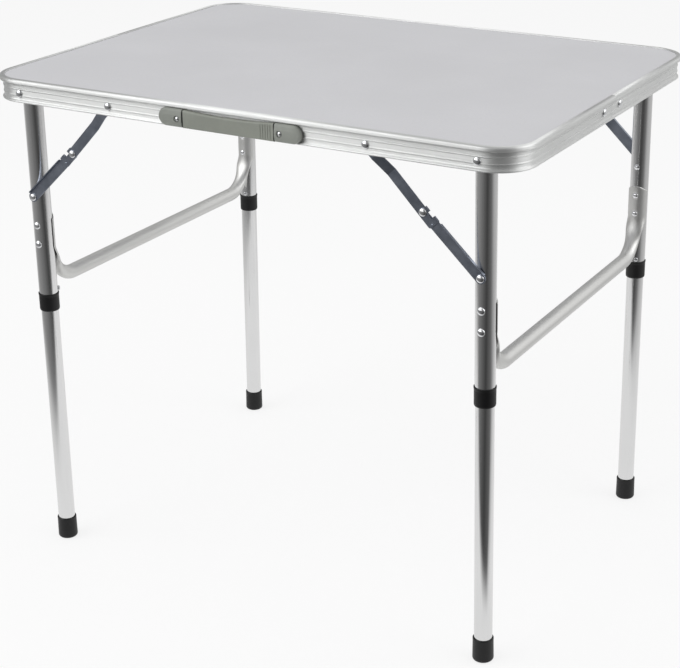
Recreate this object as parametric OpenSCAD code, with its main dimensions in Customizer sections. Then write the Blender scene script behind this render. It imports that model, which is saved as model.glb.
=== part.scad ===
// Folding camping table: a laminate panel in a two-piece extruded aluminium rim, two folding
// leg frames with jointed lock braces, plug-in lower legs held by snap buttons, and a strap handle.
// Frame: X along the long side, Y from the handle side to the back, Z up, origin on the floor
// below the middle of the top.

/* [Table top] */
// Length of the top over the rim
top_length = 750; // [720:5:800]
// Depth of the top over the rim
top_width = 550; // [520:5:600]
// Height of the rim's crown above the floor
table_height = 670; // [660:5:700]
// Outer radius of the rim at the corners
corner_radius = 50; // [40:1:60]
// Height of the rim section
rim_height = 30; // [29:0.5:32]
// Thickness of the laminate panel
panel_thickness = 3; // [2.5:0.5:3]

/* [Leg frames] */
// Outer diameter of the upper leg tube
upper_tube_d = 25; // [24.5:0.1:25]
// Outer diameter of the lower leg tube
lower_tube_d = 23.2; // [22.6:0.1:23.2]
// Wall of the leg tubes
tube_wall = 0.8; // [0.6:0.1:0.8]
// From the end of the top to the leg pivot
pivot_inset = 54.3; // [50:0.1:60]
// From the long side of the top to the leg axis
leg_inset = 29.8; // [29.8:0.1:31]
// Depth of the leg pivot below the rim's crown
pivot_drop = 18.5; // [18.5:0.1:19]
// How far the foot stands out beyond the pivot
splay_reach = 9.5; // [6:0.5:12]
// Height of the lower end of the upper leg above the floor
upper_leg_end = 350; // [345:1:360]
// Length of lower tube plugged into the upper tube
plug_length = 60; // [55:1:60]
// Diameter of the crossbar tube
crossbar_d = 20; // [18:0.5:20]
// Height of the crossbar's straight run above the floor
crossbar_height = 384; // [380:1:390]
// Bend radius of the crossbar on its centre line
crossbar_bend = 47; // [44:1:50]

/* [Braces] */
// From the leg pivot to either end of the brace
brace_reach = 139.5; // [135:0.5:145]
// How far the locked knee stands past the straight line
knee_past_centre = 2.5; // [1.5:0.1:2.5]
// Width of a brace link
link_width = 13; // [12:0.5:13]
// Thickness of a brace link
link_thickness = 1.2; // [1:0.1:1.2]

/* [Handle] */
// Length over both handle caps
handle_length = 200; // [190:1:210]
// Height of the handle
handle_height = 22.4; // [21:0.2:22.4]
// Clear length between the caps
handle_span = 130.6; // [120:0.2:134]

/* [Hidden] */
$fn = 64;

// Sides of the table: X sign, then Y sign
left = -1;
right = 1;
front = -1;
back = 1;

// General clearances and overlaps of cutting tools
fit = 0.05;
play = 0.3;
cut = 1;

// Rim section, measured outwards from the crown's outermost line and down from its top
bead_radius = 3;
lip_width = 6.5;
lip_thickness = 1.2;
panel_sink = 1.3;
bead_foot_radius = 1.6;
bead_depth = 6.2;
neck_radius = 1.8;
web_recess = 4.8;
web_thickness = 1.5;
rib_places = [13, 21];
rib_rise = 0.7;
rib_half = 1.3;
hem_start = 25;
hem_radius = 1.4;
hem_setback = 2.6;
ledge_reach = 14;
ledge_thickness = 1.3;
groove_wall = 2;
ledge_top = panel_sink + panel_thickness;
inner_face = web_recess + web_thickness;
seam_half = 0.1;

// Where the rim halves are joined on the short sides
splice_half = 45;
splice_thickness = 2;
splice_top = 8;
splice_bottom = 27;
splice_rivet_y = 25;
splice_rivet_drop = 15.5;

// Rivets
rivet_head_r = 4;
rivet_head_h = 2.4;
rivet_shank_r = 2.5;
pivot_shank_r = 3;
pivot_head_r = 4.4;
rivet_tail_h = 1.7;
head_seat_r = rivet_head_r + 0.4;
flat_depth = 0.4;
bush_r = 7;

// Leg frame, measured down the leg from the pivot
half_x = top_length / 2;
half_y = top_width / 2;
pivot_x = half_x - pivot_inset;
pivot_z = table_height - pivot_drop;
leg_y = half_y - leg_inset;
splay = atan(splay_reach / pivot_z);
leg_length = pivot_z / cos(splay);
upper_r = upper_tube_d / 2;
lower_r = lower_tube_d / 2;
leg_top = 6;
collar_height = 24.5;
collar_end = pivot_z - upper_leg_end;
upper_tube_end = collar_end - 2.5;
crossbar_rivets_at = [pivot_z - 471.8, pivot_z - 445.7];
snap_at = collar_end - collar_height - 4.5;
plug_top = collar_end - plug_length;
foot_height = 32;
foot_r = 13.5;
foot_sole = 4;

// Snap buttons: how far each points away from the line between its frame's legs, towards +X
snap_turn = [[45, 12], [0, 20]];
snap_button_r = 3;
snap_hole_r = 3.25;
snap_reach = 2.9;
snap_travel = 3;
spring_width = 7;
spring_strip = 0.6;

// Crossbar
crossbar_r = crossbar_d / 2;
crossbar_wall = 1;
crossbar_y = leg_y - upper_r - crossbar_r - 0.1;
crossbar_drop = pivot_z - crossbar_height;
saddle_wall = 1.6;
saddle_top = pivot_z - 485;
saddle_end = 211;
saddle_crown_r = 16;
saddle_back = 3.2;
bend_z = -crossbar_drop + crossbar_bend;
neck_end = bend_z + 3;

// Brace layers, as distances from the middle plane of the table
lower_link_y = 259.2 - 275 + half_y;
upper_link_y = lower_link_y + link_thickness + play;
anchor_link_y = half_y - inner_face - play - link_thickness;
joggle_start = 17;
joggle_end = 42;
knee_overhang = 20;
tab_depth = upper_link_y - lower_link_y - 0.2;
tab_wall = 1.2;
flange_gap = 0.3;
flange_height = 3;
flange_start = knee_overhang + 4;
dimple_r = 2;

// Brace pivots in the plane of a right-hand frame, from the leg pivot
anchor = [-brace_reach, 0];
leg_rivet = brace_reach * [sin(splay), -cos(splay)];
knee_line = (anchor + leg_rivet) / 2;
knee = knee_line * (1 + knee_past_centre / norm(knee_line));
link_length = norm(knee - anchor);
upper_link_turn = atan2(anchor[1] - knee[1], knee[0] - anchor[0]);
lower_link_turn = atan2(knee[1] - leg_rivet[1], leg_rivet[0] - knee[0]);

// Handle
handle_z = pivot_z;
handle_z_mid = table_height - 17.8;
cap_back = half_y - 2.3;
cap_depth = 6.9;
cap_edge = 2.2;
cap_round = 3.8;
grip_back = half_y - 2;
grip_front = half_y + 4;
grip_round = 2.4;
grip_gap_left = 1.8;
grip_gap_right = 0.8;
grip_dip = 2.3;
tongue_half = 7;
tongue_thickness = 2.3;
tongue_end = 83;
screw_x = 72;
screw_z = pivot_z;
screw_head_r = 3.3;
screw_shank_r = 1.6;
screw_boss_r = 2.8;
flex_grooves = 5;
flex_pitch = 3.4;
flex_start = 46;

function arc(cx, cy, r, from, to, steps) =
    [for (i = [0:steps]) let (a = from + (to - from) * i / steps) [cx + r * cos(a), cy + r * sin(a)]];

function rib(drop) = [
    [-web_recess, -drop + rib_half],
    [-web_recess + 0.7 * rib_rise, -drop + 0.6 * rib_half],
    [-web_recess + rib_rise, -drop],
    [-web_recess + 0.7 * rib_rise, -drop - 0.6 * rib_half],
    [-web_recess, -drop - rib_half],
];

// Section of the rim: crown over the panel's edge, ribbed web, flared hem and inner ledge
rim_outline = concat(
    arc(-lip_width + 0.5, -0.5, 0.5, 180, 90, 3),
    arc(-bead_radius, -bead_radius, bead_radius, 90, 0, 8),
    arc(-bead_foot_radius, -bead_depth + bead_foot_radius, bead_foot_radius, 0, -90, 5),
    arc(-web_recess + neck_radius, -bead_depth - neck_radius, neck_radius, 90, 180, 4),
    rib(rib_places[0]),
    rib(rib_places[1]),
    [[-web_recess, -hem_start], [-web_recess + 0.4, -hem_start - 1.3]],
    arc(-hem_setback - hem_radius, -rim_height + hem_radius, hem_radius, 40, -90, 6),
    [
        [-inner_face, -rim_height],
        [-inner_face, -ledge_top - ledge_thickness],
        [-ledge_reach, -ledge_top - ledge_thickness],
        [-ledge_reach, -ledge_top],
        [-groove_wall, -ledge_top],
        [-groove_wall, -lip_thickness],
        [-lip_width, -lip_thickness],
    ]
);

// A rivet along +Z: dome on top of z = 0, shank below, set tail under it
module rivet(head_r, shank_r, length, tail_r) {
    dome(head_r, rivet_head_h);
    translate([0, 0, -length]) cylinder(r = shank_r, h = length);
    translate([0, 0, -length]) mirror([0, 0, 1]) dome(tail_r, rivet_tail_h);
}

// Spherical cap of a given foot radius and height
module dome(r, h) {
    ball = (r * r + h * h) / (2 * h);
    intersection() {
        translate([0, 0, h - ball]) sphere(r = ball);
        cylinder(r = r, h = h);
    }
}

// Turns +Z to point outwards through the front rim
module facing_front() {
    rotate([90, 0, 0]) children();
}

// Rounded rectangle about the origin
module rounded_plate(length, width, radius) {
    square([length - 2 * radius, width], center = true);
    square([length, width - 2 * radius], center = true);
    for (x = [-1, 1], y = [-1, 1])
        translate([x * (length / 2 - radius), y * (width / 2 - radius)]) circle(r = radius);
}

// Straight length of rim along Y, ending at the corner, on the +X side
module rim_short_run() {
    run = half_y - corner_radius - seam_half;
    translate([half_x, half_y - corner_radius, table_height])
        rotate([90, 0, 0]) linear_extrude(run) polygon(rim_outline);
}

module rim_corner() {
    translate([half_x - corner_radius, half_y - corner_radius, table_height])
        rotate_extrude(angle = 90) translate([corner_radius, 0]) polygon(rim_outline);
}

// Back half of the rim, with its holes and the flats pressed under the rivet heads
module rim_half(handle_holes) {
    difference() {
        union() {
            translate([-half_x + corner_radius, half_y, table_height])
                rotate([90, 0, 90]) linear_extrude(top_length - 2 * corner_radius) polygon(rim_outline);
            for (side = [left, right]) mirror([side == left ? 1 : 0, 0, 0]) {
                rim_corner();
                rim_short_run();
            }
        }
        for (side = [left, right]) {
            rim_rivet_hole(side * pivot_x, pivot_z, pivot_shank_r, pivot_head_r + 0.2);
            rim_rivet_hole(side * (pivot_x - brace_reach), pivot_z, rivet_shank_r, rivet_head_r + 0.2);
            if (handle_holes) rim_rivet_hole(side * screw_x, screw_z, screw_shank_r, 0);
            translate([side * half_x, splice_rivet_y, table_height - splice_rivet_drop])
                rotate([0, side * 90, 0]) {
                    translate([0, 0, -15]) cylinder(r = rivet_shank_r + fit, h = 15);
                    translate([0, 0, -web_recess]) cylinder(r = rivet_head_r + 0.2, h = web_recess - 1);
                }
        }
    }
}

module rim_rivet_hole(x, z, shank_r, head_r) {
    translate([x, half_y, z]) rotate([-90, 0, 0]) {
        translate([0, 0, -15]) cylinder(r = shank_r + fit, h = 15);
        if (head_r > 0) translate([0, 0, -web_recess]) cylinder(r = head_r, h = web_recess - 1);
    }
}

module rim_front() {
    color("silver") mirror([0, 1, 0]) rim_half(true);
}

module rim_back() {
    color("silver") rim_half(false);
}

module rim_splice(side) {
    face = half_x - inner_face - fit;
    color("gainsboro") difference() {
        translate([side > 0 ? face - splice_thickness : -face, -splice_half, table_height - splice_bottom])
            cube([splice_thickness, 2 * splice_half, splice_bottom - splice_top]);
        for (y = [-splice_rivet_y, splice_rivet_y])
            translate([side * (face - splice_thickness - cut), y, table_height - splice_rivet_drop])
                rotate([0, side * 90, 0]) cylinder(r = rivet_shank_r + fit, h = splice_thickness + 2 * cut);
    }
}

module splice_rivets() {
    grip_length = web_thickness + fit + splice_thickness;
    color("whitesmoke") for (side = [left, right], y = [-splice_rivet_y, splice_rivet_y])
        translate([side * (half_x - web_recess), y, table_height - splice_rivet_drop])
            rotate([0, side * 90, 0]) rivet(rivet_head_r, rivet_shank_r, grip_length, rivet_head_r);
}

module table_panel() {
    edge = groove_wall + 0.2;
    color("lightgray") translate([0, 0, table_height - ledge_top])
        linear_extrude(panel_thickness)
            rounded_plate(top_length - 2 * edge, top_width - 2 * edge, corner_radius - edge);
}

// Places a part modelled on the front of the rim at each pivot or brace anchor
module at_each_corner(x) {
    for (side = [left, right], end = [front, back])
        mirror([0, end == back ? 1 : 0, 0]) translate([side * x, 0, pivot_z]) children();
}

module leg_pivot_rivets() {
    length = half_y - web_recess - (leg_y - upper_r - play);
    color("whitesmoke") at_each_corner(pivot_x)
        translate([0, -half_y + web_recess, 0]) facing_front()
            rivet(pivot_head_r, pivot_shank_r, length, pivot_head_r);
}

module leg_pivot_bushes() {
    far = half_y - inner_face - fit;
    near = leg_y + upper_r + play;
    color("dimgray") at_each_corner(pivot_x)
        translate([0, -near, 0]) facing_front() difference() {
            cylinder(r = bush_r, h = far - near);
            translate([0, 0, -cut]) cylinder(r = pivot_shank_r + fit, h = far - near + 2 * cut);
        }
}

module brace_anchor_rivets() {
    length = half_y - web_recess - anchor_link_y + 0.1;
    color("whitesmoke") at_each_corner(pivot_x - brace_reach)
        translate([0, -half_y + web_recess, 0]) facing_front()
            rivet(rivet_head_r, rivet_shank_r, length, rivet_head_r);
}

// Puts a part modelled in a right-hand frame in place: X outwards, Z up the legs, origin midway
// between the frame's two leg pivots
module in_frame(side) {
    mirror([side == left ? 1 : 0, 0, 0])
        translate([pivot_x, 0, pivot_z]) rotate([0, -splay, 0]) children();
}

// Puts a part modelled on the front leg's axis in place: Y points to the other leg
module on_leg(side, end) {
    in_frame(side) mirror([0, end == back ? 1 : 0, 0]) translate([0, -leg_y, 0]) children();
}

// Turns +Z to the way the snap button of a leg points
module to_snap(side, end) {
    turn = side * snap_turn[side == left ? 0 : 1][end == front ? 0 : 1];
    rotate([0, 0, -turn]) rotate([-90, 0, 0]) children();
}

module tube(r, wall, top, bottom) {
    difference() {
        translate([0, 0, -bottom]) cylinder(r = r, h = bottom - top);
        translate([0, 0, -bottom - cut]) cylinder(r = r - wall, h = bottom - top + 2 * cut);
    }
}

// A hole right through the leg, with a flat pressed on the outer side for the rivet's head
module leg_rivet_hole(drop, r, flat_r) {
    translate([0, 0, -drop]) rotate([90, 0, 0]) {
        translate([0, 0, -2 * upper_r]) cylinder(r = r + fit, h = 4 * upper_r);
        if (flat_r > 0) translate([0, 0, upper_r - flat_depth]) cylinder(r = flat_r, h = upper_r);
    }
}

module upper_leg(side, end) {
    color("darkgray") on_leg(side, end) difference() {
        tube(upper_r, tube_wall, -leg_top, upper_tube_end);
        leg_rivet_hole(0, pivot_shank_r, 0);
        leg_rivet_hole(brace_reach, rivet_shank_r, 0);
        for (drop = crossbar_rivets_at) leg_rivet_hole(drop, rivet_shank_r, head_seat_r);
        translate([0, 0, -snap_at]) to_snap(side, end) cylinder(r = snap_hole_r, h = 2 * upper_r);
    }
}

module collar(side, end) {
    bore = upper_r + 0.02;
    neck = lower_r + fit;
    outer = upper_r + 0.8;
    color("black") on_leg(side, end) translate([0, 0, -collar_end]) rotate_extrude() polygon([
        [neck, 0],
        [outer - 1.2, 0],
        [outer - 0.4, 0.6],
        [outer, 2],
        [outer, collar_height - 4],
        [outer + 0.4, collar_height - 1.4],
        [outer + 0.4, collar_height - 0.3],
        [outer + 0.1, collar_height],
        [outer - 0.2, collar_height],
        [bore, collar_height - 1.4],
        [bore, 2.5],
        [neck, 2.5],
    ]);
}

module lower_leg(side, end) {
    color("lightgray") on_leg(side, end) difference() {
        tube(lower_r, tube_wall, plug_top, leg_length - foot_sole);
        translate([0, 0, -snap_at]) to_snap(side, end) cylinder(r = snap_hole_r, h = 2 * lower_r);
    }
}

// Moulded foot: rounded sole cut level with the floor, thin lip round the tube
module foot(side, end) {
    bore = lower_r + 0.02;
    color("black") difference() {
        on_leg(side, end) translate([0, 0, -leg_length]) rotate_extrude() polygon(concat(
            [[0, -0.5], [foot_r - 4, -0.5]],
            arc(foot_r - 3.6, 3.4, 3.6, -80, 0, 6),
            [
                [foot_r - 0.3, foot_height - 6],
                [foot_r - 0.2, foot_height - 1.2],
                [foot_r - 0.6, foot_height - 0.3],
                [foot_r - 1, foot_height],
                [bore + 0.3, foot_height],
                [bore, foot_height - 1],
                [bore, foot_sole],
                [0, foot_sole],
            ]
        ));
        translate([0, 0, -10]) cube([2 * top_length, 2 * top_width, 20], center = true);
    }
}

// Bent spring strip inside the lower tube, with the button that locks the leg on its outer arm
module snap_clip(side, end) {
    wall_r = lower_r - tube_wall;
    reach = sqrt(wall_r * wall_r - spring_width * spring_width / 4) - 0.05;
    back_arm = reach - snap_travel - 0.5;
    tip = upper_r + snap_reach;
    seat = reach - spring_strip / 2;
    color("silver") on_leg(side, end) translate([0, 0, -snap_at]) to_snap(side, end) {
        rotate([90, 0, 90]) translate([0, 0, -spring_width / 2]) linear_extrude(spring_width) polygon([
            [-12, reach],
            [14, reach],
            [17, reach - 2.5],
            [17, reach - 4.5],
            [-8, -back_arm],
            [-12, -back_arm],
            [-12, -back_arm + spring_strip],
            [-8.3, -back_arm + spring_strip],
            [16.3, reach - 4.4],
            [16.3, reach - 2.8],
            [13.7, reach - spring_strip],
            [-12, reach - spring_strip],
        ]);
        rotate_extrude() polygon(concat(
            [[0, seat], [snap_button_r, seat]],
            arc(snap_button_r - 1.2, tip - 1.2, 1.2, 0, 90, 5),
            [[0, tip]]
        ));
    }
}

// Tube of the crossbar in the plane of its frame: straight run and two bends
module crossbar_bend_section() {
    difference() {
        circle(r = crossbar_r);
        circle(r = crossbar_r - crossbar_wall);
    }
}

// One end of the crossbar: flared neck and the flattened saddle round the leg
module crossbar_end() {
    arc_centre = -saddle_top - saddle_crown_r;
    difference() {
        union() {
            intersection() {
                translate([0, -leg_y, -saddle_end]) cylinder(r = upper_r + saddle_wall, h = saddle_end);
                translate([-30, -leg_y + saddle_back, -saddle_end]) cube([60, 30, saddle_end]);
                union() {
                    translate([0, -leg_y, arc_centre]) rotate([-90, 0, 0]) cylinder(r = saddle_crown_r, h = 30);
                    translate([-30, -leg_y, arc_centre - 60]) cube([60, 30, 60]);
                }
            }
            hull() {
                intersection() {
                    translate([0, -leg_y, -saddle_end - 1])
                        cylinder(r = upper_r + saddle_wall - 0.2, h = 1.5, $fn = 40);
                    translate([-30, -leg_y + saddle_back + 0.2, -saddle_end - 1]) cube([60, 30, 1.5]);
                }
                translate([0, -crossbar_y, neck_end - 0.5]) cylinder(r = crossbar_r - 0.2, h = 1, $fn = 40);
            }
        }
        translate([0, -leg_y, -saddle_end - 40]) cylinder(r = upper_r + fit, h = saddle_end);
        translate([0, -crossbar_y, neck_end - 1]) cylinder(r = crossbar_r - crossbar_wall, h = 3);
        for (drop = crossbar_rivets_at)
            translate([0, -leg_y, -drop]) rotate([-90, 0, 0]) {
                cylinder(r = rivet_shank_r + fit, h = 2 * upper_r);
                translate([0, 0, upper_r + saddle_wall - flat_depth]) cylinder(r = head_seat_r, h = upper_r);
            }
    }
}

module crossbar(side) {
    run = 2 * (crossbar_y - crossbar_bend);
    color("gainsboro") in_frame(side) {
        for (end = [front, back]) mirror([0, end == back ? 1 : 0, 0]) {
            crossbar_end();
            translate([0, -crossbar_y, bend_z]) linear_extrude(neck_end - bend_z) crossbar_bend_section();
            translate([0, -crossbar_y + crossbar_bend, bend_z]) rotate([0, 90, 0]) rotate([0, 0, -90])
                rotate_extrude(angle = 90) translate([crossbar_bend, 0]) crossbar_bend_section();
        }
        translate([0, -run / 2, -crossbar_drop]) rotate([-90, 0, 0])
            linear_extrude(run) crossbar_bend_section();
    }
}

module crossbar_rivets(side) {
    length = 2 * upper_r + saddle_wall - 2 * flat_depth;
    color("whitesmoke") for (end = [front, back], drop = crossbar_rivets_at)
        on_leg(side, end) translate([0, -upper_r + flat_depth, -drop]) facing_front()
            rivet(rivet_head_r, rivet_shank_r, length, rivet_head_r);
}

// Rivets that carry the lower links: shank through the leg and dished inner end. The outer heads
// ride on the links, since every brace is opened at this rivet
module brace_rivets(side) {
    length = 2 * upper_r - 0.2;
    color("whitesmoke") for (end = [front, back])
        on_leg(side, end) translate([0, upper_r, -brace_reach]) rotate([-90, 0, 0]) {
            translate([0, 0, -length]) cylinder(r = rivet_shank_r, h = length);
            dome(rivet_head_r, rivet_tail_h);
        }
}

// Puts a part modelled for the right-hand front brace in place; X runs down the link from a pivot
// given from the leg pivot, Z points to the corner of the table
module on_brace(side, end, place, turn) {
    mirror([side == left ? 1 : 0, 0, 0]) mirror([0, end == back ? 1 : 0, 0])
        translate([pivot_x + place[0], 0, pivot_z + place[1]]) rotate([0, turn, 0]) children();
}

// Flat outline of a link in its XZ plane, extruded from one distance behind the front to another
module link_plate(near, far) {
    translate([0, -near, 0]) rotate([90, 0, 0]) linear_extrude(far - near) children();
}

// Outline of the upper link: round anchor end, notch between the two stop tabs, square free end
module upper_link_outline() {
    half = link_width / 2;
    free = link_length + knee_overhang;
    difference() {
        union() {
            circle(r = half);
            translate([0, -half]) square([free, link_width]);
            translate([link_length - 3, 0]) square([7, half + 0.2 + tab_wall]);
            translate([free - 8, 0]) square([8, half + 1.1 + tab_wall]);
        }
        circle(r = rivet_shank_r + fit);
        translate([link_length, 0]) circle(r = rivet_shank_r + fit);
        translate([link_length + 4, half - 2.6]) square([8, 10]);
        translate([free, -half]) rotate(45) square(2.4, center = true);
    }
}

module upper_link(side, end) {
    half = link_width / 2;
    free = link_length + knee_overhang;
    near = upper_link_y;
    far = anchor_link_y;
    color("slategray") on_brace(side, end, anchor, upper_link_turn) {
        difference() {
            intersection() {
                link_plate(near - cut, far + link_thickness + cut) upper_link_outline();
                translate([0, 0, -2 * link_width]) linear_extrude(4 * link_width) polygon([
                    [-link_width, -far],
                    [joggle_start, -far],
                    [joggle_end, -near],
                    [free + cut, -near],
                    [free + cut, -near - link_thickness],
                    [joggle_end - 0.3, -near - link_thickness],
                    [joggle_start - 0.3, -far - link_thickness],
                    [-link_width, -far - link_thickness],
                ]);
            }
            translate([link_length + knee_overhang - 3.5, -near - link_thickness - dimple_r + 0.6, 0])
                sphere(r = dimple_r);
        }
        // Stop tabs bent back over the lower link's edge
        translate([link_length - 3, -near - 0.1, half + 0.2]) cube([7, tab_depth + 0.1, tab_wall]);
        translate([free - 8, -near - 0.1, half + 1.1]) cube([8, tab_depth + 0.1, tab_wall]);
    }
}

module lower_link_outline() {
    half = link_width / 2;
    difference() {
        union() {
            circle(r = half);
            translate([link_length, 0]) circle(r = half);
            translate([0, -half]) square([link_length, link_width]);
            translate([flange_start, 0]) square([link_length - flange_start, half + flange_gap + tab_wall]);
        }
        circle(r = rivet_shank_r + fit);
        translate([link_length, 0]) circle(r = rivet_shank_r + fit);
        translate([4, half - 2.6]) square([8, 10]);
    }
}

module lower_link(side, end) {
    half = link_width / 2;
    near = lower_link_y;
    outer = near + link_thickness;
    length = link_length - flange_start;
    color("slategray") on_brace(side, end, knee, lower_link_turn) {
        link_plate(near, outer) lower_link_outline();
        // Flange along the corner side, rounded off at the leg rivet
        translate([flange_start, 0, half + flange_gap]) linear_extrude(tab_wall) difference() {
            union() {
                translate([0, -outer - flange_height + 1]) square([length - 1, flange_height]);
                translate([0.8, -outer - flange_height]) square([length - flange_height, flange_height]);
                translate([length - flange_height, -outer]) circle(r = flange_height);
            }
            translate([-cut, -near]) square([length + 2 * cut, flange_height]);
        }
    }
}

// Outer head of the rivet at the leg, with the shoulder that holds the link off the leg
module brace_rivet_head(side, end) {
    seat = lower_link_y + link_thickness;
    shoulder = lower_link_y - (leg_y + upper_r + play);
    color("whitesmoke") on_brace(side, end, leg_rivet, 0) translate([0, -seat, 0]) facing_front() {
        dome(rivet_head_r, rivet_head_h);
        translate([0, 0, -link_thickness]) cylinder(r = rivet_shank_r, h = link_thickness);
        translate([0, 0, -link_thickness - shoulder]) cylinder(r = rivet_head_r, h = shoulder);
    }
}

// Rivet that joins both links, its flat inner head just clear of the lower one
module knee_rivet(side, end) {
    seat = upper_link_y + link_thickness;
    length = seat - lower_link_y + 0.1;
    color("whitesmoke") on_brace(side, end, knee, 0) translate([0, -seat, 0]) facing_front() {
        dome(rivet_head_r, rivet_head_h);
        translate([0, 0, -length]) cylinder(r = rivet_shank_r, h = length);
        translate([0, 0, -length - 0.9]) cylinder(r = rivet_shank_r + 1, h = 0.9);
    }
}

// Half section of a handle cap: distance from the middle line, then height off the rim
cap_half_section = concat(
    [[0, 0], [handle_height / 2, 0], [handle_height / 2, cap_edge]],
    arc(handle_height / 2 - cap_round, cap_depth - 0.9 - cap_round, cap_round, 0, 70, 6),
    [[handle_height / 6, cap_depth - 0.15], [0, cap_depth]]
);

// Domed end cap: half round outer end, counterbored for its screw, hollow for the strap's tongue
module handle_cap(side) {
    inner = handle_span / 2;
    round_x = handle_length / 2 - handle_height / 2;
    cavity_back = grip_back + 0.8;
    color([0.51, 0.52, 0.49]) mirror([side == left ? 1 : 0, 0, 0]) difference() {
        union() {
            translate([round_x, -cap_back, handle_z_mid]) rotate([90, 0, 0]) rotate([0, 0, -90])
                rotate_extrude(angle = 180) polygon(cap_half_section);
            for (flip = [0, 1]) translate([inner, -cap_back, handle_z_mid]) mirror([0, 0, flip])
                rotate([0, 90, 0]) rotate([0, 0, -90]) linear_extrude(round_x - inner)
                    mirror([1, 0]) rotate(90) polygon(cap_half_section);
            translate([inner + 2, -cap_back - 0.5, table_height - 24.4])
                cube([round_x - inner, 2.2, 15]);
        }
        difference() {
            translate([inner - cut, -cavity_back - tongue_thickness - 0.5, screw_z - tongue_half - 0.5])
                cube([tongue_end + 2 - inner + cut, tongue_thickness + 0.5, 2 * tongue_half + 1]);
            translate([screw_x, -half_y, screw_z]) facing_front() cylinder(r = screw_boss_r, h = 10);
        }
        translate([screw_x, -cap_back + 5, screw_z]) facing_front() {
            cylinder(r = screw_shank_r + fit, h = 20);
            translate([0, 0, 5 + cap_depth - 1.7]) cylinder(r = screw_head_r + 0.8, h = 10);
        }
    }
}

module handle_screws() {
    color("whitesmoke") for (side = [left, right])
        translate([side * screw_x, -cap_back - cap_depth + 1.7, screw_z]) facing_front() {
            dome(screw_head_r, 1.9);
            translate([0, 0, -13]) cylinder(r = screw_shank_r, h = 13);
        }
}

// Section of the strap from one edge: across the height, then through the thickness
module grip_section(height) {
    thick = grip_front - grip_back;
    polygon(concat(
        [[height, 0], [0.8, 0], [0, 0.8]],
        arc(grip_round, thick - grip_round, grip_round, 180, 90, 6),
        [[height, thick]]
    ));
}

// Strap between the caps: its upper edge dips in a long arc, its ends go on as slotted tongues
module handle_grip() {
    left_end = -handle_span / 2 + grip_gap_left;
    right_end = handle_span / 2 - grip_gap_right;
    length = right_end - left_end;
    middle = (left_end + right_end) / 2;
    bottom = handle_z_mid - handle_height / 2 + 0.2;
    top = handle_z_mid + handle_height / 2 - 0.2;
    dip_r = (length * length / 4 + grip_dip * grip_dip) / (2 * grip_dip);
    dip_angle = 2 * asin(length / 2 / dip_r) + 1;
    tongue_back = grip_back + 1;
    color([0.5, 0.51, 0.48]) difference() {
        union() {
            translate([left_end, -grip_back, bottom]) rotate([0, 90, 0]) rotate([0, 0, 180])
                linear_extrude(length) grip_section(12);
            intersection() {
                translate([middle, -grip_back, top - grip_dip + dip_r]) rotate([90, 0, 0])
                    rotate([0, 0, -90 - dip_angle / 2]) rotate_extrude(angle = dip_angle, $fn = 720)
                        translate([dip_r, 0]) grip_section(14);
                translate([left_end, -grip_front - cut, bottom + 4]) cube([length, 20, top - bottom - 4]);
            }
            translate([-tongue_end, -tongue_back - tongue_thickness, screw_z - tongue_half])
                cube([2 * tongue_end, tongue_thickness, 2 * tongue_half]);
        }
        for (side = [left, right]) {
            slot_from = side == left ? -screw_x - 4.2 : screw_x - 5.6;
            translate([slot_from, -grip_front - cut, screw_z - 3.2]) cube([9.8, 10, 6.4]);
        }
        for (i = [0:flex_grooves - 1])
            translate([flex_start + i * flex_pitch, -grip_front - cut, bottom - cut])
                cube([1.2, cut + 0.5, handle_height + 2 * cut]);
    }
}

rim_front();
rim_back();
rim_splice(left);  // rim_splice_left
rim_splice(right);  // rim_splice_right
splice_rivets();
table_panel();
handle_grip();
handle_cap(left);  // handle_cap_left
handle_cap(right);  // handle_cap_right
handle_screws();
leg_pivot_rivets();
leg_pivot_bushes();
brace_anchor_rivets();
crossbar(left);  // left_crossbar
crossbar(right);  // right_crossbar
crossbar_rivets(left);  // left_crossbar_rivets
crossbar_rivets(right);  // right_crossbar_rivets
brace_rivets(left);  // left_brace_rivets
brace_rivets(right);  // right_brace_rivets
upper_leg(left, front);  // left_front_upper_leg
upper_leg(left, back);  // left_back_upper_leg
upper_leg(right, front);  // right_front_upper_leg
upper_leg(right, back);  // right_back_upper_leg
collar(left, front);  // left_front_collar
collar(left, back);  // left_back_collar
collar(right, front);  // right_front_collar
collar(right, back);  // right_back_collar
lower_leg(left, front);  // left_front_lower_leg
lower_leg(left, back);  // left_back_lower_leg
lower_leg(right, front);  // right_front_lower_leg
lower_leg(right, back);  // right_back_lower_leg
foot(left, front);  // left_front_foot
foot(left, back);  // left_back_foot
foot(right, front);  // right_front_foot
foot(right, back);  // right_back_foot
snap_clip(left, front);  // left_front_snap_clip
snap_clip(left, back);  // left_back_snap_clip
snap_clip(right, front);  // right_front_snap_clip
snap_clip(right, back);  // right_back_snap_clip
upper_link(left, front);  // left_front_upper_link
upper_link(left, back);  // left_back_upper_link
upper_link(right, front);  // right_front_upper_link
upper_link(right, back);  // right_back_upper_link
lower_link(left, front);  // left_front_lower_link
lower_link(left, back);  // left_back_lower_link
lower_link(right, front);  // right_front_lower_link
lower_link(right, back);  // right_back_lower_link
knee_rivet(left, front);  // left_front_knee_rivet
knee_rivet(left, back);  // left_back_knee_rivet
knee_rivet(right, front);  // right_front_knee_rivet
knee_rivet(right, back);  // right_back_knee_rivet
brace_rivet_head(left, front);  // left_front_brace_rivet_head
brace_rivet_head(left, back);  // left_back_brace_rivet_head
brace_rivet_head(right, front);  // right_front_brace_rivet_head
brace_rivet_head(right, back);  // right_back_brace_rivet_head
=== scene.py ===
"""Looks of the folding camping table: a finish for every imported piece, truer meshes for its crossbars, snap
springs and rivets, studio light and the camera. Meshes are worked out in millimetres."""
import math

import bpy
import numpy as np
from mathutils import Matrix, Vector


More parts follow.
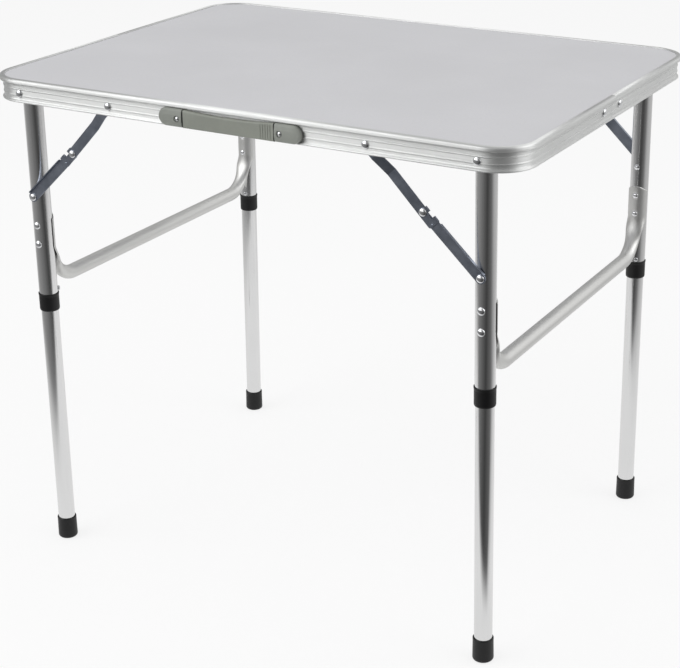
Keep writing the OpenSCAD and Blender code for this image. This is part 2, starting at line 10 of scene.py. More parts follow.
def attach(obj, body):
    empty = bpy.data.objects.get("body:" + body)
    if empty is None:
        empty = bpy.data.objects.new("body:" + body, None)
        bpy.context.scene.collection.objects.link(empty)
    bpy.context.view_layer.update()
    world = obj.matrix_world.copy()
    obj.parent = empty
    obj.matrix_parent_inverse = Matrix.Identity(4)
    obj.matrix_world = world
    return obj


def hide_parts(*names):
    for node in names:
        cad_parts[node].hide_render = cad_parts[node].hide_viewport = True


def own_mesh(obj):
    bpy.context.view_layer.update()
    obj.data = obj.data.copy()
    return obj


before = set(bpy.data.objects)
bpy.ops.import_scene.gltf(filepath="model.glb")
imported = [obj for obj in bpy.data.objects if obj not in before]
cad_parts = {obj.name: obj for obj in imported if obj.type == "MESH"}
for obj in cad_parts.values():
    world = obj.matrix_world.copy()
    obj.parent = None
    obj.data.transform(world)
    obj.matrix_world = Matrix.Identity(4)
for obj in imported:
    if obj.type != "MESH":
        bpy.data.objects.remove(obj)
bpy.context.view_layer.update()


# Shader maths

class Wire:
    """One output of a shader node, with arithmetic on values."""

    def __init__(self, sheet, socket):
        self.sheet, self.socket = sheet, socket

    def _math(self, kind, *values):
        return self.sheet.node("ShaderNodeMath", {"operation": kind}, dict(enumerate(values)))

    def __add__(self, other):
        return self._math("ADD", self, other)

    def __radd__(self, other):
        return self._math("ADD", other, self)

    def __sub__(self, other):
        return self._math("SUBTRACT", self, other)

    def __rsub__(self, other):
        return self._math("SUBTRACT", other, self)

    def __mul__(self, other):
        return self._math("MULTIPLY", self, other)

    def __rmul__(self, other):
        return self._math("MULTIPLY", other, self)

    def __truediv__(self, other):
        return self._math("DIVIDE", self, other)

    def __rtruediv__(self, other):
        return self._math("DIVIDE", other, self)

    def __pow__(self, other):
        return self._math("POWER", self, other)

    def high(self, other):
        """The higher of two values."""
        return self._math("MAXIMUM", self, other)

    def step(self, start, end, low=0.0, high=1.0):
        """Smooth change from low to high as the value goes from start to end."""
        return self.sheet.node("ShaderNodeMapRange", {"interpolation_type": "SMOOTHSTEP"},
                               {"Value": self, "From Min": start, "From Max": end,
                                "To Min": low, "To Max": high})


class Sheet:
    """The node tree of one material or of the world."""

    def __init__(self, tree):
        self.tree = tree
        tree.nodes.clear()

    def node(self, kind, settings=None, values=None, out=0):
        """Adds a node: its settings first, then the numbers, colours or links of its sockets."""
        made = self.tree.nodes.new(kind)
        for name, value in (settings or {}).items():
            setattr(made, name, value)
        for name, value in (values or {}).items():
            socket = made.inputs[name]
            if isinstance(value, Wire):
                self.tree.links.new(value.socket, socket)
            elif socket.type == "RGBA":
                socket.default_value = (*value, 1)
            else:
                socket.default_value = value
        return Wire(self, made.outputs[out]) if made.outputs else None

    def outputs(self, wire, names):
        """Other outputs of the node that a wire comes from."""
        return [Wire(self, wire.socket.node.outputs[name]) for name in names]

    def place(self):
        return self.node("ShaderNodeTexCoord", out="Object")

    def axes(self, vector):
        """X, Y and Z of a vector."""
        return self.outputs(self.node("ShaderNodeSeparateXYZ", values={0: vector}), "XYZ")

    def rays(self):
        """Whether a ray comes from the camera, and whether it comes off a shining surface."""
        return self.outputs(self.node("ShaderNodeLightPath"), ("Is Camera Ray", "Is Glossy Ray"))

    def noise(self, vector, scale, detail, rough):
        return self.node("ShaderNodeTexNoise", {},
                         {"Vector": vector, "Scale": scale, "Detail": detail, "Roughness": rough})

    def stretched(self, vector, scale):
        """A place with each axis scaled: noise on it is finest along the axis of the largest scale."""
        return self.node("ShaderNodeMapping", {}, {"Vector": vector, "Scale": scale})

    def mix(self, share, a, b):
        """Colour between a and b."""
        factor, first, second, result = 0, 6, 7, 2
        return self.node("ShaderNodeMix", {"data_type": "RGBA"}, {factor: share, first: a, second: b}, result)

    def bump(self, height, strength, distance):
        return self.node("ShaderNodeBump", {}, {"Height": height, "Strength": strength, "Distance": distance})

    def glow(self, strength):
        """White light of a strength."""
        return self.node("ShaderNodeEmission", {}, {"Color": (1.0, 1.0, 1.0), "Strength": strength})

    def either(self, share, a, b):
        """Surface between surfaces a and b."""
        return self.node("ShaderNodeMixShader", {}, {0: share, 1: a, 2: b})

    def surface(self, **values):
        """Principled surface; an underscore in a name stands for a space."""
        spelled = {name.replace("_", " "): value for name, value in values.items()}
        shader = self.node("ShaderNodeBsdfPrincipled", {}, spelled)
        self.node("ShaderNodeOutputMaterial", {}, {"Surface": shader})


def material(name):
    made = bpy.data.materials.new(name)
    made.use_nodes = True
    return made, Sheet(made.node_tree)


def linear(channel):
    """Light of one channel of a screen colour from 0 to 1."""
    return channel / 12.92 if channel < 0.04045 else ((channel + 0.055) / 1.055) ** 2.4


def srgb(r, g, b):
    """Screen colour from 0 to 255 as linear light."""
    return tuple(linear(c / 255) for c in (r, g, b))


def shaded(tone, share):
    return tuple(c * share for c in tone)


# Finishes. Lengths in a finish are in metres, and turns are shares of a full turn

BRUSH_TURN = 0.25
# Places along X, in metres, beyond which the strap is painted black: painted shade of the dark gaps where it
# runs into its caps, reaching a little onto the strap so the gaps look wider
STRAP_GAP_SHADE_FROM = (-0.0628, 0.064)
GAP_SHADE_BLUR = 0.0002
PAINTED_GAP_SHADE = (0.004, 0.004, 0.004)
FINE_RELIEF, FINEST_RELIEF = 0.0002, 0.0001


def laminate():
    """Light grey decorative laminate with a faint mottle and a fine pebbled skin."""
    made, s = material("grey_laminate")
    place = s.place()
    cloud = s.noise(place, scale=7, detail=4, rough=0.55)
    pebble = s.noise(place, scale=620, detail=2, rough=0.6)
    tone = s.mix(cloud.step(0.3, 0.7), srgb(205, 205, 208), srgb(209, 209, 212))
    tone = s.mix(pebble.step(0.35, 0.7) * 0.35, tone, srgb(198, 198, 201))
    s.surface(Base_Color=tone, Roughness=cloud * 0.06 + 0.42, Specular_IOR_Level=0.35,
              Normal=s.bump(pebble, 0.12, FINE_RELIEF))
    return made


def drawn_aluminium(name, tone, rough, stretch, grain=0.35, relief=0.1, brushed=0.0, metal=1.0):
    """Aluminium with fine drawing lines, closest together along the axis where stretch is largest, and a
    cloudy shine. A brushed skin spreads its highlights up and down, across lines that run level."""
    made, s = material(name)
    place = s.place()
    lines = s.noise(s.stretched(place, stretch), scale=7, detail=3, rough=0.65)
    cloud = s.noise(place, scale=11, detail=3, rough=0.5)
    colour = s.mix(lines.step(0.3, 0.7) * grain + cloud.step(0.35, 0.7) * 0.25, tone, shaded(tone, 0.9))
    s.surface(Base_Color=colour, Metallic=metal,
              Roughness=lines.step(0.25, 0.75, rough * 0.85, rough * 1.15) + cloud * 0.04,
              Normal=s.bump(lines, relief, FINE_RELIEF), Anisotropic=brushed, Anisotropic_Rotation=BRUSH_TURN)
    return made


def polished_dome(name, tone, rough):
    """Bright formed metal with small scuffs."""
    made, s = material(name)
    scuff = s.noise(s.place(), scale=900, detail=3, rough=0.6)
    colour = s.mix(scuff.step(0.45, 0.75) * 0.4, tone, shaded(tone, 0.8))
    s.surface(Base_Color=colour, Metallic=1.0, Roughness=scuff.step(0.3, 0.8, rough * 0.7, rough * 1.5),
              Normal=s.bump(scuff, 0.05, FINEST_RELIEF))
    return made


def zinc_steel():
    """Stamped steel strip, zinc plated: blue-grey with a fine grain and spangled cloudiness."""
    made, s = material("zinc_plated_steel")
    place = s.place()
    cloud = s.noise(place, scale=45, detail=4, rough=0.6)
    fine = s.noise(place, scale=700, detail=2, rough=0.6)
    tone = s.mix(cloud.step(0.3, 0.7), srgb(134, 140, 152), srgb(158, 164, 176))
    s.surface(Base_Color=tone, Metallic=1.0, Roughness=cloud * 0.12 + fine * 0.08 + 0.24,
              Normal=s.bump(fine, 0.1, FINE_RELIEF))
    return made


def moulded(name, tone, rough, gap_shade_from=None):
    """Moulded plastic: fine spark-eroded grain, softly uneven colour and shine. Beyond two given places along
    X a piece is painted black, painted shade of the dark gaps between a strap and its caps."""
    made, s = material(name)
    place = s.place()
    cloud = s.noise(place, scale=30, detail=3, rough=0.5)
    fine = s.noise(place, scale=1500, detail=2, rough=0.6)
    colour = s.mix(cloud.step(0.3, 0.7), shaded(tone, 0.93), shaded(tone, 1.06))
    if gap_shade_from:
        left, right = gap_shade_from
        x = s.axes(place)[0]
        # Painted shade: black beyond these places stands in for the shadow in the gaps at the strap's ends
        painted_gap_shade = x.step(left, left - GAP_SHADE_BLUR) + x.step(right, right + GAP_SHADE_BLUR)
        colour = s.mix(painted_gap_shade, colour, PAINTED_GAP_SHADE)
    s.surface(Base_Color=colour, Roughness=cloud * 0.1 + fine * 0.08 + rough,
              Normal=s.bump(fine, 0.2, FINE_RELIEF), Specular_IOR_Level=0.4)
    return made


rim_finish = drawn_aluminium("drawn_rim_aluminium", srgb(232, 233, 232), rough=0.5, stretch=(1.5, 1.5, 260.0),
                             grain=0.3, relief=0.15, brushed=0.9, metal=0.92)
tube_finish = drawn_aluminium("polished_tube_aluminium", srgb(232, 232, 232), rough=0.13,
                              stretch=(160.0, 160.0, 2.0), grain=0.3)
crossbar_finish = drawn_aluminium("satin_tube_aluminium", srgb(220, 220, 218), rough=0.42,
                                  stretch=(160.0, 2.0, 160.0), grain=0.2, relief=0.05)
mill_finish = drawn_aluminium("mill_aluminium", srgb(205, 206, 207), rough=0.4, stretch=(160.0, 2.0, 160.0))
rivet_finish = polished_dome("polished_rivets", srgb(235, 236, 238), rough=0.12)
screw_finish = polished_dome("chromed_screws", srgb(235, 236, 238), rough=0.1)
spring_finish = polished_dome("plated_spring_steel", srgb(215, 216, 218), rough=0.22)
brace_finish = zinc_steel()
panel_finish = laminate()
strap_finish = moulded("olive_grey_strap", srgb(134, 137, 129), rough=0.36, gap_shade_from=STRAP_GAP_SHADE_FROM)
cap_finish = moulded("olive_grey_caps", srgb(134, 137, 131), rough=0.3)
black_finish = moulded("black_plastic", srgb(10, 10, 11), rough=0.36)

# A node takes the finish of the first word that its name holds
FINISHES = (
    ("rim_splice", mill_finish), ("rim_", rim_finish), ("table_panel", panel_finish),
    ("handle_grip", strap_finish), ("handle_cap", cap_finish), ("handle_screws", screw_finish),
    ("leg_pivot_bushes", black_finish), ("upper_leg", tube_finish), ("lower_leg", tube_finish),
    ("crossbar_rivets", rivet_finish), ("crossbar", crossbar_finish), ("collar", black_finish),
    ("foot", black_finish), ("snap_clip", spring_finish), ("_link", brace_finish),
    ("rivet", rivet_finish),
)


def dress(name, obj):
    finish = next(finish for word, finish in FINISHES if word in name)
    if obj.material_slots:
        for slot in obj.material_slots:
            slot.material = finish
    else:
        obj.data.materials.append(finish)


for name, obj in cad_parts.items():
    dress(name, obj)

# Meshes. Each is made of closed skins, and a skin of rings of points

SIDES = ((-1, "left"), (1, "right"))
ENDS = ((-1, "front"), (1, "back"))
MM_PER_M = 1000
QUARTER = np.pi / 2
SHARP_EDGE = math.radians(50)


def circle(count):
    """Cosine and sine at equal steps round a circle."""
    turn = np.linspace(0, 2 * np.pi, count, endpoint=False)
    return np.cos(turn), np.sin(turn)


def squared(wave, power):
    """A sine or cosine with its flanks steepened, so that a circle turns into a rounded square: its sign
    times its size to a power below one."""
    return np.sign(wave) * np.abs(wave) ** power


def smooth(value, start, end):
    """From 0 to 1 as the value goes from start to end: three times the share's square less twice its cube."""
    share = np.clip((value - start) / (end - start), 0, 1)
    return share * share * (3 - 2 * share)


def along(path, count):
    """Points at equal steps along a polyline."""
    reached = np.r_[0, np.cumsum(np.linalg.norm(np.diff(path, axis=0), axis=1))]
    even = np.linspace(0, reached[-1], count)
    return np.stack([np.interp(even, reached, path[:, i]) for i in range(path.shape[1])], -1)


def skin(rings):
    """Points and faces of a closed skin through rings of points, all with the same count. Each end ring is
    closed by strips between its two halves. Where the volume under the faces comes out negative they point
    inwards, and are turned round."""
    count, around = rings.shape[:2]
    points = rings.reshape(-1, 3)
    row, col = np.meshgrid(np.arange(count - 1), np.arange(around), indexing="ij")
    here, beside = row * around + col, row * around + (col + 1) % around
    faces = np.stack([here, beside, beside + around, here + around], -1).reshape(-1, 4)
    i = np.arange(around // 2)
    strips = np.stack([i, (around - i) % around, (around - i - 1) % around, i + 1], -1)
    faces = np.concatenate([faces, strips, strips[:, ::-1] + (count - 1) * around])
    a, b, c, d = (points[faces[:, k]] - points.mean(0) for k in range(4))
    volume = (a * (np.cross(b, c) + np.cross(c, d))).sum()
    return points, faces[:, ::-1] if volume < 0 else faces


def formed(name, skins, finish):
    """One object from closed skins, brought from millimetres to metres. The first and last strip that close
    an end ring name one point twice, and become triangles."""
    start, points, faces = 0, [], []
    for skin_points, skin_faces in skins:
        points.append(skin_points / MM_PER_M)
        faces.append(skin_faces + start)
        start += len(skin_points)
    outlines = [list(dict.fromkeys(face)) for face in np.concatenate(faces).tolist()]
    mesh = bpy.data.meshes.new(name)
    mesh.from_pydata(np.concatenate(points).tolist(), [], outlines)
    mesh.polygons.foreach_set("use_smooth", np.ones(len(mesh.polygons), dtype=bool))
    mesh.set_sharp_from_angle(angle=SHARP_EDGE)
    mesh.materials.append(finish)
    made = bpy.data.objects.new(name, mesh)
    bpy.context.scene.collection.objects.link(made)
    return made


# Leg frames. A frame is drawn from the middle of its two pivots: X outwards, Y along the pivots, Z up the
# legs, whose feet stand wider than the pivots

PIVOT_X, PIVOT_Z = 320.7, 651.5
LEG_Y = 245.2
FEET_OUT = 9.5
SPLAY = math.atan(FEET_OUT / PIVOT_Z)


def stand_frame(points, side):
    """From a right-hand frame's own axes to the table, on either side: turned by the legs' splay, then moved
    to the pivots."""
    x, y, z = points[..., 0], points[..., 1], points[..., 2]
    across = x * math.cos(SPLAY) - z * math.sin(SPLAY) + PIVOT_X
    up = x * math.sin(SPLAY) + z * math.cos(SPLAY) + PIVOT_Z
    return np.stack([side * across, y, up], -1)


# Crossbars: one bent tube each, its ends flattened into saddles that wrap round the legs. Heights count
# from the pivots, and are negative below them

WRAP_RADIUS, WRAP_SPREAD = 13.35, math.radians(76)
SHEET_HALF, SHEET_EDGE = 0.78, 0.35
CROWN_TOP, CROWN_RADIUS = -166.5, 16.0
CROWN_ROUNDING = ((0.0, 0.05), (0.1, 0.6), (0.35, 0.9))
FLATTENED_TO = -209.5
RIVETS_AT = (-179.7, -205.8)
PRESSED_FACE, PRESSED_RADIUS, PRESSED_SLOPE = 13.7, 4.3, 0.5
BAR_RADIUS, BAR_DROP = 9.7, -263.5
NEAR_BEND, FAR_BEND = 40.0, 45.0
OVAL_BY, ROUND_BY = 0.34, 0.6
RING_POINTS, BEND_POINTS = 72, 60
SADDLE_RINGS, NECK_RINGS, RUN_RINGS = 46, 63, 9
FIRST_SADDLE_RING = 0.02


def saddle_ring(height, share, wrap, edge):
    """Outline of a sheet wrapped round the leg at a height: angle wrap from the leg's inner side, radius the
    sheet's middle plus or minus half its thickness. A share of the thickness rounds the crown's edge. Round
    each rivet the outer face is pressed flat."""
    radius = WRAP_RADIUS + SHEET_HALF * share * edge
    x, y = radius * np.sin(wrap), radius * np.cos(wrap)
    for at in RIVETS_AT:
        from_rivet = np.hypot(x, height - at)
        face = PRESSED_FACE + PRESSED_SLOPE * np.clip(from_rivet - PRESSED_RADIUS, 0, None)
        y = np.where(y > 0, np.minimum(y, face), y)
    return np.stack([x, y - LEG_Y, height + 0 * x], -1)


def neck_walls():
    """Places (Y, height) of the tube's near and far wall at even steps from the saddle to the straight run:
    each goes straight down and then through a quarter of an ellipse. The near one keeps to the leg before it
    bends away, and the far one bends away at once."""
    bend = np.linspace(0, QUARTER, BEND_POINTS)
    near_foot, far_foot = BAR_DROP - BAR_RADIUS + NEAR_BEND, BAR_DROP + BAR_RADIUS + FAR_BEND
    near_y, far_y = WRAP_RADIUS - SHEET_HALF - LEG_Y, WRAP_RADIUS + SHEET_HALF - LEG_Y
    far_run = NEAR_BEND + near_y - far_y
    near = np.stack([near_y + NEAR_BEND * (1 - np.cos(bend)), near_foot - NEAR_BEND * np.sin(bend)], -1)
    far = np.stack([far_y + far_run * (1 - np.cos(bend)), far_foot - FAR_BEND * np.sin(bend)], -1)
    near = along(np.concatenate([[(near_y, FLATTENED_TO)], near]), NECK_RINGS + 1)[1:]
    far = along(np.concatenate([[(far_y, FLATTENED_TO)], far]), NECK_RINGS + 1)[1:]
    return near, far


def crossbar_rings():
    """Rings of the right-hand crossbar, from the front saddle to the back one: sheets wrapped round the leg,
    under a crown that is round as seen from the leg's inner side, then rings between the neck's two walls.
    These open from the wrapped sheet into an oval, and their width goes over into the tube's. The straight
    run ends at the middle of the bar, and the other half mirrors this one."""
    across, out = circle(RING_POINTS)
    edge = squared(out, SHEET_EDGE)
    wrap = WRAP_SPREAD * across
    crown = CROWN_TOP - CROWN_RADIUS + np.sqrt(CROWN_RADIUS ** 2 - (WRAP_RADIUS * np.sin(wrap)) ** 2)

    rings = [saddle_ring(crown - drop, share, wrap, edge) for drop, share in CROWN_ROUNDING]
    for part in np.linspace(FIRST_SADDLE_RING, 1, SADDLE_RINGS):
        rings.append(saddle_ring(crown + (FLATTENED_TO - crown) * part, 1.0, wrap, edge))

    for i, (near, far) in enumerate(zip(*neck_walls())):
        part = (i + 1) / NECK_RINGS
        middle, half = (near + far) / 2, (far - near) / 2
        oval, rounded = smooth(part, 0, OVAL_BY), smooth(part, 0, ROUND_BY)
        wide = WRAP_RADIUS * math.sin(WRAP_SPREAD) * (1 - rounded) + BAR_RADIUS * rounded
        lean = edge * (1 - oval) + out * oval
        x = WRAP_RADIUS * np.sin(wrap) * (1 - oval) + wide * across * oval
        y = middle[0] + half[0] * lean - WRAP_RADIUS * (1 - np.cos(wrap)) * (1 - oval)
        rings.append(np.stack([x, y, middle[1] + half[1] * lean], -1))

    rings = np.array(rings)
    run = rings[-1][None].repeat(RUN_RINGS, 0)
    run[..., 1] *= np.linspace(1, 0, RUN_RINGS + 1)[1:, None]
    front = np.concatenate([rings, run])
    back = front[-2::-1] * np.array([1, -1, 1])
    return np.concatenate([front, back])


for side, word in SIDES:
    bar = formed(f"{word}_crossbar_tube", [skin(stand_frame(crossbar_rings(), side))], crossbar_finish)
    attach(bar, f"{word}_frame")
    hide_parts(f"{word}_crossbar")

# Snap buttons: a spring strip bent in a V inside the lower leg, with the button on its outer arm. Each
# button points at its frame's other leg, turned by some degrees towards the table's right-hand end

SNAP_AT = -272.5
SNAP_TURN = {("left", "front"): 45, ("left", "back"): 12, ("right", "front"): 0, ("right", "back"): 20}
OUTER_ARM, INNER_ARM = 9.87, -6.37
STRIP_TOP, OUTER_FOOT, STRIP_FOOT, INNER_BEND = 12, -14, -16.7, 8.2
FOOT_CORNERS = (2.4, 4.2)
STRIP_HALF_WIDTH, STRIP_HALF = 3.5, 0.3
WIDE_EDGE, THIN_EDGE = 0.3, 0.4
STRIP_RINGS, STRIP_POINTS, CORNER_STEPS = 110, 28, 7
BUTTON_RADIUS, BUTTON_EDGE, BUTTON_TIP, BUTTON_CROWN = 3.0, 1.2, 15.4, 0.3
BUTTON_POLE, BUTTON_POINTS = 0.03, 32
WALL_RINGS, EDGE_RINGS, CROWN_RINGS = 5, 8, 5


def spring_rings():
    """Rings along the strip: its path (height, distance out), drawn in straight lines and softened at its
    corners by a moving average, carries a rounded rectangle (across the leg, out along the button, up)."""
    corners = np.array([(STRIP_TOP, OUTER_ARM), (OUTER_FOOT, OUTER_ARM),
                        (STRIP_FOOT, OUTER_ARM - FOOT_CORNERS[0]), (STRIP_FOOT, OUTER_ARM - FOOT_CORNERS[1]),
                        (INNER_BEND, INNER_ARM), (STRIP_TOP, INNER_ARM)])
    path = np.pad(along(corners, STRIP_RINGS), ((CORNER_STEPS // 2,) * 2, (0, 0)), mode="edge")
    weights = np.ones(CORNER_STEPS) / CORNER_STEPS
    path = np.stack([np.convolve(path[:, i], weights, mode="valid") for i in range(2)], -1)
    run = np.gradient(path, axis=0)
    run /= np.linalg.norm(run, axis=1)[:, None]
    wide, deep = circle(STRIP_POINTS)
    across = STRIP_HALF_WIDTH * squared(wide, WIDE_EDGE)
    thick = STRIP_HALF * squared(deep, THIN_EDGE)
    out = path[:, 1, None] + run[:, 0, None] * thick
    up = path[:, 0, None] - run[:, 1, None] * thick
    return np.stack([across + 0 * out, out, up], -1)


def button_rings():
    """Rings of the button from its seat on the strip to its tip: a cylinder, a rounded edge (radius and
    height follow a quarter circle) and a crown that falls as the square of the way out."""
    bend = np.linspace(0, QUARTER, EDGE_RINGS)
    shoulder, shoulder_top = BUTTON_RADIUS - BUTTON_EDGE, BUTTON_TIP - BUTTON_CROWN
    crown = np.linspace(shoulder, BUTTON_POLE, CROWN_RINGS + 1)[1:]
    wall = np.linspace(OUTER_ARM, shoulder_top - BUTTON_EDGE, WALL_RINGS + 1)[:-1]
    radius = np.r_[np.full_like(wall, BUTTON_RADIUS), shoulder + BUTTON_EDGE * np.cos(bend), crown]
    height = np.r_[wall, shoulder_top - BUTTON_EDGE * (1 - np.sin(bend)),
                   BUTTON_TIP - BUTTON_CROWN * (crown / shoulder) ** 2]
    across, up = circle(BUTTON_POINTS)
    return np.stack([radius[:, None] * across, height[:, None] + 0 * across, radius[:, None] * up], -1)


def place_snap(rings, side, end_side, turned_by):
    """From a button's own axes (across, out, up) to the table."""
    across, out, up = rings[..., 0], rings[..., 1], rings[..., 2]
    x = across * math.cos(turned_by) + out * math.sin(turned_by)
    y = out * math.cos(turned_by) - across * math.sin(turned_by) - LEG_Y
    return stand_frame(np.stack([x, -end_side * y, up + SNAP_AT], -1), side)


for side, word in SIDES:
    for end_side, end in ENDS:
        spot = side, end_side, math.radians(SNAP_TURN[word, end]) * side
        skins = [skin(place_snap(rings, *spot)) for rings in (spring_rings(), button_rings())]
        clip = formed(f"{word}_{end}_snap_spring", skins, spring_finish)
        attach(clip, f"{word}_{end}_snap")
        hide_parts(f"{word}_{end}_snap_clip")
        middle, tip = place_snap(np.array([(0.0, 0.0, 0.0), (0.0, 1.0, 0.0)]), *spot)
        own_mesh(clip)

# Rivets, with the wide domes of the photograph. Tails, heads and faces are distances from the middle of
# the table along a rivet's axis, and pairs are a rivet's distance to the side and its height

HEAD_RADIUS, HEAD_HEIGHT, HEAD_EDGE = 5.0, 2.8, 0.4
TAIL_RADIUS, TAIL_HEIGHT = 4.0, 1.7
SHANK_RADIUS, PIVOT_SHANK_RADIUS = 2.5, 3.0
DOME_RINGS, DOME_POLE, RIVET_POINTS = 10, 0.02, 36
RIM_FACE_Y, RIM_FACE_X = 270.2, 370.2
PIVOT_TAIL, ANCHOR_TAIL, SPLICE_TAIL = 232.4, 267.1, 366.65
ANCHOR_X = 181.2
SPLICE_RIVET_Y, SPLICE_RIVET_Z = 25, 654.5
CROSSBAR_RIVETS = ((323.32, 471.82), (323.7, 445.72))
CROSSBAR_TAIL, CROSSBAR_HEAD = 231.5, 257.3
KNEE, BRACE_END = (250.21, 579.98), (322.73, 512.02)
KNEE_LEVELS, KNEE_WASHER = (258.2, 259.1, 261.9), 3.5
BRACE_END_LEVELS, BRACE_END_WASHER = (258.0, 259.2, 260.4), 4.0
BOTH = (-1, 1)


def dome(radius, height, foot, outwards):
    """Radius and place of rings over a quarter of an ellipse, from its foot to its top."""
    bend = np.linspace(0, QUARTER, DOME_RINGS)
    return np.maximum(radius * np.cos(bend), DOME_POLE), foot + outwards * height * np.sin(bend)


def head(seat):
    """Radius and place of a head's rings: a short upright edge under a dome."""
    radius, place = dome(HEAD_RADIUS, HEAD_HEIGHT - HEAD_EDGE, seat + HEAD_EDGE, 1)
    return np.r_[HEAD_RADIUS, radius], np.r_[seat, place]


def rivet_levels(seat, tail, shank):
    """Radius and place of rings along a rivet: domed tail, shank, head."""
    tail_radius, tail_place = dome(TAIL_RADIUS, TAIL_HEIGHT, tail, -1)
    head_radius, head_place = head(seat)
    return (np.r_[tail_radius[::-1], shank, shank, head_radius],
            np.r_[tail_place[::-1], tail, seat, head_place])


def link_rivet_levels(washer, levels):
    """Radius and place of rings along a link's rivet: a flat washer, a shank and a head, which start at the
    three levels."""
    foot, top, seat = levels
    head_radius, head_place = head(seat)
    return (np.r_[washer, washer, SHANK_RADIUS, SHANK_RADIUS, head_radius],
            np.r_[foot, top, top, seat, head_place])


def turned_skin(levels, spot, axis="y"):
    """Closed skin of a piece turned about an axis along Y or X. Its levels count from the middle of the
    table towards the sign of the spot's y, or of its x."""
    radius, place = levels
    x, y, z = spot
    wide, deep = circle(RIVET_POINTS)
    a, b = radius[:, None] * wide, radius[:, None] * deep
    run = place[:, None] + 0 * wide
    if axis == "x":
        return skin(np.stack([math.copysign(1, x) * run, y + a, z + b], -1))
    return skin(np.stack([x + a, math.copysign(1, y) * run, z + b], -1))


def rivets(node, body, skins):
    made = formed(f"domed_{node}", skins, rivet_finish)
    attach(made, body)
    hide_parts(node)


def mirrored(x, y, z):
    """A place on each side and at each end of the table."""
    return [(sx * x, sy * y, z) for sx in BOTH for sy in BOTH]


def rim_rivets():
    pivot = rivet_levels(RIM_FACE_Y, PIVOT_TAIL, PIVOT_SHANK_RADIUS)
    anchor = rivet_levels(RIM_FACE_Y, ANCHOR_TAIL, SHANK_RADIUS)
    splice = rivet_levels(RIM_FACE_X, SPLICE_TAIL, SHANK_RADIUS)
    rivets("leg_pivot_rivets", "table_top",
           [turned_skin(pivot, spot) for spot in mirrored(PIVOT_X, 1, PIVOT_Z)])
    rivets("brace_anchor_rivets", "table_top",
           [turned_skin(anchor, spot) for spot in mirrored(ANCHOR_X, 1, PIVOT_Z)])
    rivets("splice_rivets", "table_top",
           [turned_skin(splice, spot, "x") for spot in mirrored(1, SPLICE_RIVET_Y, SPLICE_RIVET_Z)])


def frame_rivets(side, word):
    crossbar = rivet_levels(CROSSBAR_HEAD, CROSSBAR_TAIL, SHANK_RADIUS)
    brace_end = link_rivet_levels(BRACE_END_WASHER, BRACE_END_LEVELS)
    knee = link_rivet_levels(KNEE_WASHER, KNEE_LEVELS)
    rivets(f"{word}_crossbar_rivets", f"{word}_frame",
           [turned_skin(crossbar, (side * x, sy, z)) for x, z in CROSSBAR_RIVETS for sy in BOTH])
    for end_side, end in ENDS:
        rivets(f"{word}_{end}_brace_rivet_head", f"{word}_{end}_lower_brace",
               [turned_skin(brace_end, (side * BRACE_END[0], end_side, BRACE_END[1]))])
        rivets(f"{word}_{end}_knee_rivet", f"{word}_{end}_upper_brace",
               [turned_skin(knee, (side * KNEE[0], end_side, KNEE[1]))])


rim_rivets()
for side, word in SIDES:
    frame_rivets(side, word)

# Stage: floor, world and lamps, in metres. Patterns that only reflections show give the tubes and the rim
# the streaks of a studio. Directions are X and Y as seen from the table

TOWARDS_DIM_SIDE = (0.6058, -0.7956)
TOWARDS_SOFT_LIGHT = (-0.47, -0.883)
NOT_ZERO = 0.001
FLOOR_HALF, FLOOR_LEVEL = 14.0, -0.0004
PAPER_LIGHT, SEEN_GLOW = 0.86, 0.8
PAPER_FADES_FROM, PAPER_ENDS_NEAR, PAPER_ENDS_FAR, PAPER_REACHES_RIGHT = 0.52, 0.68, 1.5, 0.5
SOFT_BAND, WORLD_LIGHT = 1.25, 0.72


def bearings(x, y):
    """How far a place lies towards the room's dim side, where the lens stands, and how far to the right of
    that, as the lens sees it."""
    ahead = x * TOWARDS_DIM_SIDE[0] + y * TOWARDS_DIM_SIDE[1]
    aside = y * TOWARDS_DIM_SIDE[0] - x * TOWARDS_DIM_SIDE[1]
    return ahead, aside


def floor_finish():
    """Pale matt paper. Reflections see it white round the table, ending in a room whose light grows with the
    root of the turn away from its dim side, and again at its right and far walls."""
    made, s = material("studio_floor")
    x, y, _ = s.axes(s.place())
    camera, glossy = s.rays()
    reach = (x * x + y * y) ** 0.5
    ahead, aside = (distance / (reach + NOT_ZERO) for distance in bearings(x, y))
    turned = ((1.0 - ahead) / 0.9).high(0.0) ** 0.5
    right_wall = aside.step(0.55, 1.0, low=0.05, high=0.3)
    far_wall = ahead.step(-0.2, -0.9, low=0.0, high=0.25)
    room = turned * 0.22 + right_wall + far_wall
    paper_end = (ahead.step(1.0, -0.5, low=PAPER_ENDS_NEAR, high=PAPER_ENDS_FAR)
                 + aside.step(0.3, 0.8, low=0.0, high=PAPER_REACHES_RIGHT))
    in_room = reach.step(PAPER_FADES_FROM, paper_end)
    plain = s.node("ShaderNodeBsdfDiffuse", {}, {"Color": (PAPER_LIGHT,) * 3})
    seen = s.either(SEEN_GLOW, plain, s.glow(1.0))
    reflected = s.glow(in_room * (room - PAPER_LIGHT) + PAPER_LIGHT)
    shader = s.either(glossy, s.either(camera, plain, seen), reflected)
    s.node("ShaderNodeOutputMaterial", {}, {"Surface": shader})
    return made


def lay_floor():
    low, high, level = -FLOOR_HALF, FLOOR_HALF, FLOOR_LEVEL
    mesh = bpy.data.meshes.new("floor")
    mesh.from_pydata([(low, low, level), (high, low, level), (high, high, level), (low, high, level)], [],
                     [(0, 1, 2, 3)])
    mesh.materials.append(floor_finish())
    floor = bpy.data.objects.new("floor", mesh)
    bpy.context.scene.collection.objects.link(floor)


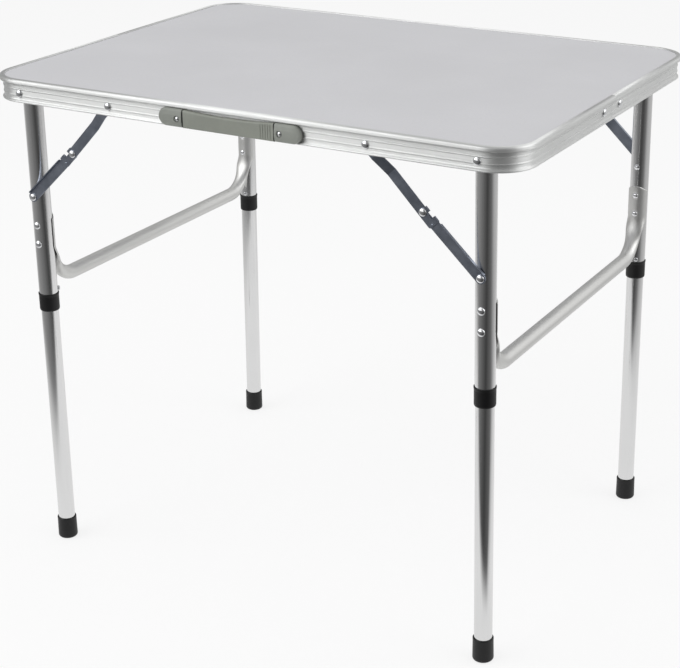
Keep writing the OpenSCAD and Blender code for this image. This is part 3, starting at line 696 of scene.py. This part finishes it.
def light_world():
    """White to the camera and even light for matt surfaces. Reflections see a tall soft light on the left, a
    paler wall on the right, a pale ceiling, and less light on the dim side."""
    world = bpy.data.worlds.new("studio")
    bpy.context.scene.world = world
    world.use_nodes = True
    s = Sheet(world.node_tree)
    camera, glossy = s.rays()
    x, y, z = s.axes(s.node("ShaderNodeTexCoord", out="Generated"))
    ahead, aside = bearings(x, y)
    soft = (x * TOWARDS_SOFT_LIGHT[0] + y * TOWARDS_SOFT_LIGHT[1]) / ((x * x + y * y) ** 0.5 + NOT_ZERO)
    band = soft.step(0.8, 0.99) * z.step(-0.05, 0.1) * z.step(0.75, 0.1) * SOFT_BAND
    right_wall = aside.step(0.1, 0.9, low=0.0, high=0.45)
    ceiling = z.step(0.3, 0.9, low=0.0, high=0.3)
    reflected = band + right_wall + ceiling + ahead.step(0.9, 0.2, low=0.2, high=0.42)
    level = camera + (1 - camera) * (glossy * reflected + (1 - glossy) * WORLD_LIGHT)
    back = s.node("ShaderNodeBackground", {}, {"Color": (1.0, 1.0, 1.0), "Strength": level})
    s.node("ShaderNodeOutputWorld", {}, {"Surface": back})


def lamp(name, place, target, size, power):
    """Square soft lamp at a place, pointed at a target; its power is in watts."""
    data = bpy.data.lights.new(name, "AREA")
    data.shape, data.size, data.energy = "SQUARE", size, power
    made = bpy.data.objects.new(name, data)
    made.location = place
    made.rotation_euler = (Vector(target) - Vector(place)).to_track_quat("-Z", "Y").to_euler()
    bpy.context.scene.collection.objects.link(made)


lay_floor()
light_world()
lamp("key_lamp", place=(-1.9, -2.3, 2.6), target=(0, 0, 0.45), size=3.0, power=50)
lamp("side_lamp", place=(2.6, 0.4, 1.9), target=(0, 0, 0.4), size=2.2, power=20)

# Camera, solved from points and edges of the photograph. Its axes point right, up and back

PICTURE_WIDTH, PICTURE_HEIGHT = 680, 668
FOCAL_PIXELS, LENS_CENTRE = 1626.28, (375, 370)
SENSOR_WIDTH = 36
CAMERA_PLACE = (1.058261, -1.815958, 1.156126)
CAMERA_AXES = ((0.87368, 0.48646, -0.00673), (-0.19049, 0.35479, 0.91533), (0.44766, -0.79842, 0.40264))

data = bpy.data.cameras.new("camera")
data.sensor_width = SENSOR_WIDTH
data.lens = FOCAL_PIXELS * SENSOR_WIDTH / PICTURE_WIDTH
data.shift_x = (PICTURE_WIDTH / 2 - LENS_CENTRE[0]) / PICTURE_WIDTH
data.shift_y = (LENS_CENTRE[1] - PICTURE_HEIGHT / 2) / PICTURE_WIDTH
data.clip_start, data.clip_end = 0.05, 60
camera = bpy.data.objects.new("camera", data)
camera.matrix_world = Matrix.Translation(CAMERA_PLACE) @ Matrix(CAMERA_AXES).transposed().to_4x4()
bpy.context.scene.collection.objects.link(camera)
bpy.context.scene.camera = camera
bpy.context.scene.view_settings.view_transform = "Standard"
